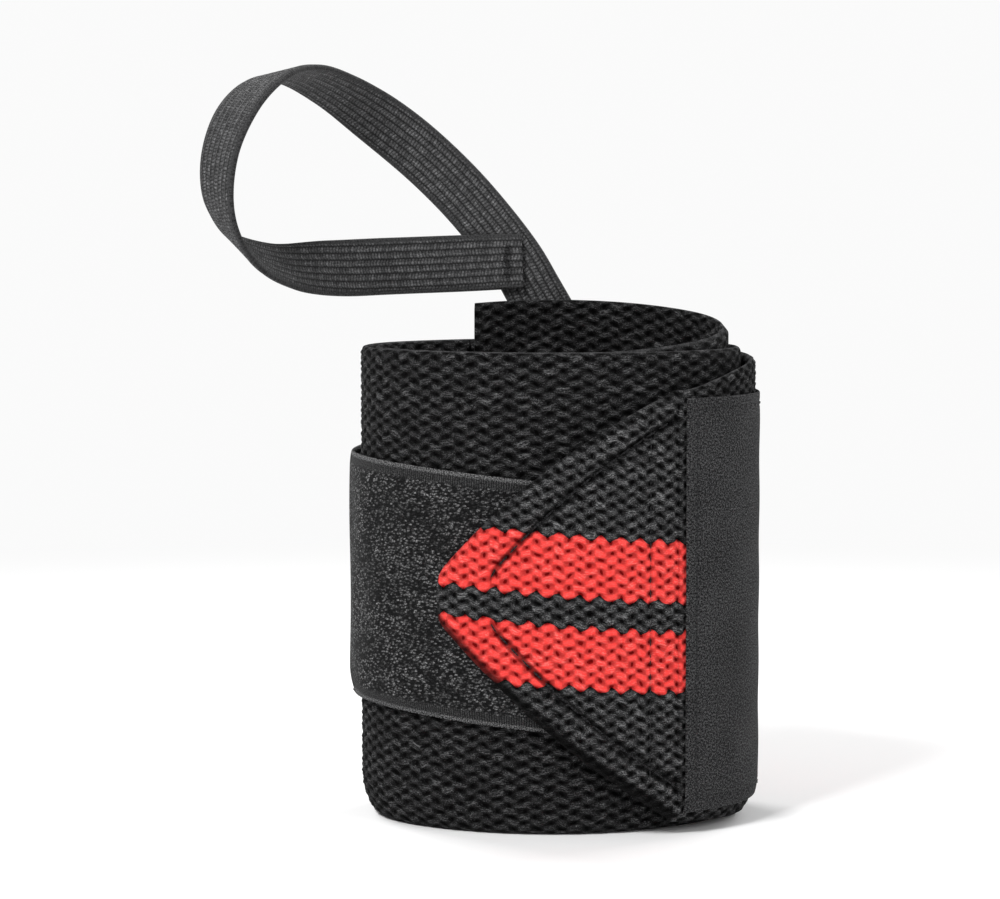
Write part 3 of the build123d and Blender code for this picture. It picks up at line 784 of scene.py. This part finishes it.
# ---- The strap, from under the flap round the thumb side and over the patch ----
def strap_path():
    """Points along the strap's middle line, a quarter millimetre apart, with its bends smoothed."""
    base = wound(np.linspace(BASE_START, BASE_END - 2.5, 60), -2.6)
    hooked = wound(np.linspace(STRAP_BEND + 2.5, STRAP_END_BEND - 2, 90), 2.0)
    last = wound(np.linspace(STRAP_END_BEND + 2, STRAP_END, 60), 2.4)
    rough = np.concatenate([base, hooked, last])
    gone = running(rough)
    even = np.arange(0, gone[-1], 0.25)
    line = sampled(even, gone, rough)
    weights = np.exp(-0.5 * (np.arange(-12, 13) / 4.5) ** 2)
    padded = np.pad(line, ((12, 12), (0, 0)), "reflect", reflect_type="odd")
    return np.stack([np.convolve(column, weights / weights.sum(), "valid") for column in padded.T], 1), even


strap_line, strap_gone = strap_path()
tangent = unit(np.gradient(strap_line, axis=0))
strap_normal = np.stack([-tangent[:, 1], tangent[:, 0]], 1)
strap_number = np.arange(len(strap_line))
thumb_side = np.argmin(strap_line[:, 0])
before, after = strap_line[:, 0] - strap_line[thumb_side, 0], strap_gone - strap_gone[thumb_side]
strap_middle = 41.4 + np.where(strap_number < thumb_side, -0.097 * before, 0.05 * after)
STRAP_HALF = (STRAP_HIGH - STRAP_LOW) / 2 - 0.3
split = np.argmin(np.abs(strap_line[:, 1] + 12) + 100 * (strap_line[:, 0] > -20))


def strap_piece(name, first, last, ends, nodes, bend, lap=0.0):
    """A stretch of the strap whose lower edge curls in. It lies lap deeper where it laps over the stretch before."""
    keep = np.unique([*range(first, last, 2), last])
    middle = strap_middle[keep]
    low, high = middle - STRAP_HALF, middle + STRAP_HALF

    def curl(height):
        low_edge, top_edge = (height - low[:, None]) / 4.5, (high[:, None] - height) / 3.0
        wave = 0.12 * np.sin(strap_gone[keep] * 0.55)[:, None] * np.sin(height * 0.21) - lap * (keep < split)[:, None]
        return wave - 0.75 * np.clip(1 - low_edge, 0, 1) ** 2 - 0.25 * np.clip(1 - top_edge, 0, 1) ** 2

    piece = sheet_mesh(
        name, strap_line[keep], strap_normal[keep], strap_gone[keep], low, high, 0.5, -0.42,
        step=0.6, skip=2, rim=0.5, ends=ends, shape=curl, up_shift=middle - (STRAP_LOW + STRAP_HIGH) / 2)
    return place(piece, STRAP, nodes, bend)


strap_root = strap_piece("strap_from_flap", 0, split, (0.5, 0), ["strap_base", "hook_strap"], STRAP_ROOT_BEND)
strap_tip = strap_piece(
    "strap_over_patch", split - 5, len(strap_line) - 1, (0, 0.5), ["hook_strap", "strap_end"], STRAP_TIP_BEND, 0.03)


# ---- Thread and other thin tubes ----
def ring_faces(first, sides, count):
    """The faces of a closed tube of count rings, whose points are numbered from first on."""
    last = first + (count - 1) * sides
    around = [(k + j, k + (j + 1) % sides, k + sides + (j + 1) % sides, k + sides + j)
              for k in range(first, last, sides) for j in range(sides)]
    return [*around, tuple(range(first, first + sides)), tuple(range(last + sides - 1, last - 1, -1))]


def tubes(name, runs, radius, sides=6):
    """Closed tubes along runs of points, which taper at both ends, as one mesh."""
    points, faces, cloth = [], [], []
    t = 2 * math.pi * np.arange(sides)[:, None] / sides
    for turn, run in enumerate(np.asarray(run, float) for run in runs):
        along = unit(np.gradient(run, axis=0))
        one = unit(np.cross(along, np.eye(3)[np.argmin(np.abs(along).max(0))]))
        ring = np.cos(t) * one[:, None] + np.sin(t) * np.cross(along, one)[:, None]
        thick = np.full((len(run), 1, 1), radius)
        thick[[0, -1]] *= 0.45
        faces += ring_faces(len(points), sides, len(run))
        points += [*(run[:, None] + thick * ring).reshape(-1, 3)]
        cloth += [(gone, side / sides, turn) for gone in running(run) for side in range(sides)]
    return put(name, points, faces, {"cloth": cloth})


def on_wrap(angles, offset, heights):
    """Points on the winding and the outward directions there, in space."""
    angles, heights = np.broadcast_arrays(np.asarray(angles, float), heights)
    return np.column_stack([wound(angles, offset), heights]), np.column_stack([outward(angles), 0 * angles])


def stitches(angles, offset, heights, length=1.9, gap=0.8, lift=0.22):
    """Runs of points for single stitches along a line on the winding."""
    path, normal = on_wrap(angles, offset, heights)
    gone, t = running(path), np.linspace(0, 1, 6)
    runs, start = [], gap / 2
    while start + length < gone[-1]:
        where = start + t * length
        rise = lift * np.sin(np.pi * t) ** 0.6 - 0.12
        runs.append(sampled(where, gone, path) + sampled(where, gone, normal) * rise[:, None])
        start += length + gap
    return runs


x_table = np.linspace(TIP_X + HEM_SEAM, ROOT_X - 0.5, 160)
a_table = flap_angle(x_table)
seam_offset = FACE - 0.78
runs = [run for side in (-1, 1) for run in stitches(a_table, seam_offset, flap_edge(x_table - HEM_SEAM, side))]
runs += stitches(a_table[0], seam_offset, np.linspace(flap_edge(TIP_X, -1), flap_edge(TIP_X, 1), 9))
seams = place(tubes("flap_stitches", runs, 0.13), THREAD, ["flap_seams"], FLAP_BEND)
cross_ends = [flap_edge(ROOT_X - CROSS_SEAM, side) - 1.6 * side for side in (-1, 1)]
runs = stitches(flap_angle(ROOT_X - CROSS_SEAM), FACE - 0.52, np.linspace(*cross_ends, 40), lift=0.17)
cross = place(tubes("cross_stitches", runs, 0.09), THREAD, ["cross_seam"], FLAP_BEND)


# ---- The bare panel ----
def to_border(height, gone, low, high):
    """How far points of a piece lie from its nearest edge."""
    return np.minimum(np.minimum(height - low, high - height), np.minimum(gone, gone[-1] - gone)[:, None])


def panel_dents(height):
    """The cloth dips at its seam and waves a little between."""
    to_edge = to_border(height, panel_gone, PANEL_LOW, PANEL_HIGH)
    wave = 0.05 * np.sin(height * 0.45 + panel_gone[:, None] * 0.3) * smooth(2, 5, to_edge)
    return crease(to_edge - PANEL_SEAM, 0.45, 0.12) + wave


PANEL_SEAM = 2.0  # from the panel's edge to its seam
angles = angles_between(PANEL_START, PANEL_END, 0.7, (0.4, 0.4))
panel_gone = length_to(angles) - length_to(PANEL_START)
panel = place(wound_sheet(
    "end_panel_cloth", angles, panel_gone, PANEL_LOW, PANEL_HIGH, 1.55, 0.95,
    step=0.5, skip=3, rim=0.35, ends=(0.4, 0.4), shape=panel_dents),
    PANEL, ["end_panel"], "wrap")
level = angle_at(np.linspace(length_to(PANEL_START) + PANEL_SEAM, length_to(PANEL_END) - PANEL_SEAM, 80))
rise = np.linspace(PANEL_LOW + PANEL_SEAM, PANEL_HIGH - PANEL_SEAM, 80)
frame_sides = [(level, rise[0]), (level, rise[-1]), (level[0], rise), (level[-1], rise)]
runs = [run for angles, heights in frame_sides for run in stitches(angles, 1.48, heights, 1.7, 0.5, 0.2)]
panel_seam = place(tubes("panel_stitches", runs, 0.14), THREAD, ["panel_seam"], "wrap")

# ---- The fuzzy loop patch, its zigzag seam and its hairs ----
angles = angles_between(PATCH_START, PATCH_END, 0.42, (0.5, 0.5))
patch_gone = length_to(angles) - patch_first
fuzz = np.random.default_rng(11)
SEWN_TOP = 1.02  # how far out the zigzags and the roots of the hairs lie


def pile(height):
    """Tangled loops of pile, longer in some places than in others."""
    to_edge = to_border(height, patch_gone, PATCH_LOW, PATCH_HIGH)
    rough = fuzz.normal(0, 0.13, height.shape)
    lumps = 0.10 * np.sin(height * 1.9 + 1.3 * np.sin(patch_gone * 1.1)[:, None]) * np.sin(patch_gone * 1.7)[:, None]
    return (rough + lumps + 0.12) * smooth(0.2, 1.6, to_edge) - 0.15 * smooth(1.8, 0.6, to_edge)


def zigzag(first, last, low, high, pitch, upwards=False):
    """A zigzag of thread: along the winding between two heights, or up the winding between two angles."""
    count = int((high - low if upwards else stretch_between(first, last)) / pitch)
    even = np.arange(count) % 2 == 0
    if upwards:
        heights, angles = np.linspace(low, high, count), np.where(even, first, last)
    else:
        angles, heights = angle_at(np.linspace(length_to(first), length_to(last), count)), np.where(even, low, high)
    points, look = on_wrap(angles, SEWN_TOP, heights)
    middle = (points[1:] + points[:-1]) / 2 + look[1:] * 0.12
    return np.stack([points[:-1] - look[:-1] * 0.12, middle], 1).reshape(-1, 3)


def hairs(count):
    """Short arched hairs at random places on the patch, lying every way."""
    ranges = (0.4, patch_gone[-1] - 0.4), (PATCH_LOW + 0.4, PATCH_HIGH - 0.4), (0, math.pi), (0.4, 1), (0.10, 0.36)
    along, heights, way, reach, rise = (fuzz.uniform(*each, (count, 1)) for each in ranges)
    t = np.linspace(-0.5, 0.5, 5)
    level = angle_at(patch_first + along + reach * np.cos(way) * t)
    lift = SEWN_TOP + rise * (1 - 4 * t**2) - 0.12
    return np.concatenate([wound(level, lift), (heights + reach * np.sin(way) * t)[..., None]], -1)


patch = place(wound_sheet(
    "loop_pile_patch", angles, patch_gone, PATCH_LOW, PATCH_HIGH, 1.12, 0.38,
    step=0.42, rim=0.45, ends=(0.5, 0.5), shape=pile),
    PILE, ["loop_patch"], "wrap")
IN, OUT, PITCH = 1.3, 0.5, 0.55  # of the zigzag: how far it reaches in and out over the edge, and its step
runs = [
    zigzag(PATCH_START, PATCH_END, PATCH_HIGH - IN, PATCH_HIGH + OUT, PITCH),
    zigzag(PATCH_START, PATCH_END, PATCH_LOW - OUT, PATCH_LOW + IN, PITCH),
    zigzag(*angle_at(patch_last + np.array([-IN, OUT])), PATCH_LOW, PATCH_HIGH, PITCH, upwards=True),
]
patch_seam = place(tubes("patch_zigzag", runs, 0.12, 5), EDGE_THREAD, ["patch_seam"], "wrap")
patch_hairs = place(tubes("pile_hairs", hairs(3600), 0.065, 3), hair_material(), ["loop_patch"], "wrap")

# ---- The hooks on the strap's end ----
HOOK_HALF, HOOK_SHAPE = 15.0, ((0, 0), (0.22, 0), (0.32, 0.12), (0.22, 0.24))
keep = strap_number[(strap_line[:, 1] > 1.5) & (strap_number > thumb_side)][:-6]
hook_length = np.ptp(strap_gone[keep])
keep = keep[::2]
hook_line, inwards, hook_middle = strap_line[keep], -strap_normal[keep], strap_middle[keep]
hook_base = sheet_mesh(
    "hook_base", hook_line, inwards, strap_gone[keep], hook_middle - HOOK_HALF, hook_middle + HOOK_HALF, 0.62, 0.46,
    step=0.8, skip=2, rim=0.08, ends=(0, 0))
runs = []
for k in range(0, len(keep) - 1, 2):
    for row, rise in enumerate(np.arange(-14.2, 14.3, 1.05)):
        spot = np.array([*(hook_line[k] + inwards[k] * 0.60), hook_middle[k] + rise + 0.5 * (k % 4 == 0)])
        inn, side = np.array([*inwards[k], 0]), np.array([0, 0, 1.0 if row % 2 else -1.0])
        runs.append([spot + inn * reach + side * bent for reach, bent in HOOK_SHAPE])
hooks = tubes("hook_rows", runs, 0.07, 4)

# Bare hook tape peeks out beyond the strap's end, most of all at its two corners. Its near-black colour, darker than
# the hooks', is painted shade under the strap's end.
LIP, LIP_LAP = 4.6, 1.5  # its length, and how much of it lies under the strap
lip_low, lip_high = hook_middle[-1] - STRAP_HALF + 0.4, hook_middle[-1] + STRAP_HALF - 0.2
angles = angle_at(length_to(STRAP_END) - LIP_LAP + np.linspace(0, LIP, 24))
hook_edge = wound_sheet(
    "hook_edge", angles, length_to(angles), lip_low, lip_high, 1.93, 1.5, step=0.6, skip=2, rim=0.2, ends=(0, 0.3))
lip_start, lip_end = wound(angles)[[0, -1]]
lip_way = unit(lip_end - lip_start)
for corner in hook_edge.data.vertices:
    *spot, z = np.array(corner.co) / MM
    share = np.clip((spot - lip_start) @ lip_way / LIP, 0, 1)
    gone = 1.6 * smooth(0.6, 6.0, lip_high - z) * smooth(1.2, 8.0, z - lip_low)
    gone += 0.2 * np.sin(0.9 * z) * smooth(1, 5, lip_high - z) * smooth(1, 5, z - lip_low)
    corner.co -= Vector((*(share * gone * lip_way * MM), 0))
for thing, material in ((hook_edge, HOOK_EDGE_SHADED), (hook_base, HOOKS), (hooks, HOOKS)):
    place(thing, material, ["hook_pad"], "strap_tip")

# ---- The elastic thumb loop ----
ANCHOR = np.array([-3.838, 22.180, 88.0])
LOOP_ROUTE = [  # places from the anchor, and the way that the outer face looks there
    (9, 1.20, -14.6, 0.1, 1, 0),
    (5.9, 1.32, -9.4, 0.05, 1, 0),
    (3, 1.32, -4.2, 0, 1, 0),
    (0.3, 1.40, 0.5, -0.03, 1, -0.08),
    (-2.9, 2.2, 6, 0, 1, -0.3),
    (-7.5, 4.2, 12, 0, 1, -0.2),
    (-13.2, 5.4, 18.5, -0.1, 1, 0),
    (-20, 5.2, 25, -0.2, 1, 0.2),
    (-27.5, 2.8, 31, -0.2, 0.8, 0.5),
    (-34.5, -2.5, 35.8, -0.2, 0.5, 0.9),
    (-40.5, -10, 38.4, -0.3, 0, 1),
    (-45.5, -18.5, 37.2, -0.4, -0.4, 0.8),
    (-50, -25.5, 32, -0.6, -0.7, 0.45),
    (-52.8, -29.5, 24, -0.75, -0.65, 0.1),
    (-52.8, -29.5, 15.5, -0.85, -0.5, -0.1),
    (-49.5, -25, 8.8, -0.85, -0.3, -0.4),
    (-43, -17, 5.4, -0.8, 0.1, -0.5),
    (-34.5, -9, 4.8, -0.65, 0.5, -0.2),
    (-25, -3.6, 5, -0.35, 0.9, 0),
    (-15, -0.5, 5.3, -0.1, 1, -0.05),
    (-6, 0.75, 5.6, -0.08, 1, -0.25),
    (-1.7, 0.95, 5.7, -0.05, 1, -0.3),
]


def spline(values, steps=16):
    """A smooth curve through points, with a number of steps between neighbours."""
    p = np.pad(np.asarray(values, float), ((1, 1), (0, 0)), "reflect", reflect_type="odd")
    t = np.linspace(0, 1, steps, endpoint=False)[:, None]
    parts = [2 * b + (c - a) * t + (2 * a - 5 * b + 4 * c - d) * t**2 + (3 * b - a - 3 * c + d) * t**3
             for a, b, c, d in zip(p, p[1:], p[2:], p[3:])]
    return np.concatenate([*parts, 2 * p[-2:-1]]) / 2


def tape(name, line, look, thickness):
    """A flat ribbed tape along a line, its outer face looking the way that look says."""
    along = unit(np.gradient(line, axis=0))
    side = unit(np.cross(look, along))
    up = np.cross(along, side)
    across = np.linspace(0.25 - WIDE / 2, WIDE / 2 - 0.25, 49)
    bulge = np.abs(np.cos(np.pi * across / RIB)) ** 0.7
    edge = np.clip((WIDE / 2 - np.abs(across)) / 0.9, 0, 1) ** 0.5
    rise = (thickness / 2 - 0.2 + 0.26 * bulge) * (0.35 + 0.65 * edge)
    ring = [*zip(across, rise), (WIDE / 2, 0), *zip(across[::-1], -rise[::-1]), (-WIDE / 2, 0)]
    points = [centre + w * side[k] + h * up[k] for k, centre in enumerate(line) for w, h in ring]
    cloth = [(gone, w / RIB + RIB_ZERO, 0) for gone in running(line) for w, h in ring]
    return put(name, points, ring_faces(0, len(ring), len(line)), {"cloth": cloth})


loop_line, loop_look = np.split(spline(LOOP_ROUTE), 2, 1)
loop = place(
    tape("elastic_thumb_loop", ANCHOR + loop_line, loop_look, 1.2), ELASTIC, ["thumb_loop"], LOOP_BEND)
tack = np.arange(25)
tack_over, tack_up = np.where(tack % 2, 0.75, -0.75), (tack - 12) * 0.26
run = ANCHOR + np.column_stack([tack_over - 4.3, 0.06 + 0.29 * tack_up, 5.72 + 0.957 * tack_up])
loop_tacks = place(tubes("loop_tacks", [run], 0.12, 5), THREAD, ["thumb_loop"], "thumb_loop")

# ---- The elastic's tab, sewn to the inner turn ----
TAB_TOP = 80.8  # lower than in the part, as the loop's tape takes over
TAB_FIRST = angle_at(length_to(TAB_END) - WIDE - 0.1)
angles = angles_between(TAB_FIRST, TAB_END, 0.25, (0.4, 0.4))
tab = place(wound_sheet(
    "elastic_tab", angles, length_to(angles) - length_to(TAB_FIRST), TAB_LOW, TAB_TOP, 1.12, 0.0,
    step=0.8, skip=2, rim=0.35, ends=(0.4, 0.4)), ELASTIC, ["thumb_loop_tab"], "wrap")
for corner in tab.data.attributes["cloth"].data:  # turned, so that the ribs run up the tab
    gone, up, rim = corner.vector
    corner.vector = up * BEAD, (gone - WIDE / 2) / RIB + RIB_ZERO, rim
tack_ends = angle_at(length_to(np.array([TAB_FIRST, TAB_END])) + (1.6, -1.6))
runs = [zigzag(*tack_ends, low, low + 2.0, 0.3) for low in (73.0, 76.6)]
tacks = place(tubes("tab_tacks", runs, 0.10, 5), THREAD, ["tab_bartacks"], "wrap")


# ---- The cloth, as it was cut ----
def cut(length):
    """Turns the millimetres that a sheet of cloth was cut to into metres, and keeps nothing."""
    length * MM


cut(stretch_between(INNER_END, INNER_TURN_END))
cut(stretch_between(INNER_TURN_END, MIDDLE_TURN_END))
cut(np.ptp(outer_gone))
cut(strap_gone[split])
cut(strap_gone[-1] - strap_gone[split])
cut(stretch_between(PANEL_START, PANEL_END))
cut(patch_last - patch_first)
cut(hook_length)
cut(TAB_TOP - TAB_LOW)
cut(running(loop_line)[-1])

# ---- Floor ----
low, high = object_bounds()
floor_mesh = bpy.data.meshes.new("floor")
floor_mesh.from_pydata([(-6, -6, 0), (6, -6, 0), (6, 6, 0), (-6, 6, 0)], [], [(0, 1, 2, 3)])
floor = add("floor", floor_mesh)
floor.location.z = low.z - 0.0002
paint = Shade("floor")
matt = {"Base Color": (0.95, 0.95, 0.95), "Roughness": 0.9, "Specular IOR Level": 0.1}
both = {1: paint.node("BsdfPrincipled", matt), 2: paint.node("Emission", {"Color": PALE})}
away = paint.node("VectorMath", {0: paint.node("NewGeometry", {}, "Position")}, "Value", operation="LENGTH")
both[0] = away.ramp(0.10, 0.45) * paint.node("LightPath", {}, "Is Camera Ray")
paint.node("OutputMaterial", {0: paint.node("MixShader", both)})
floor_mesh.materials.append(paint.owner)
floor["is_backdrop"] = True

low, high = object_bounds()
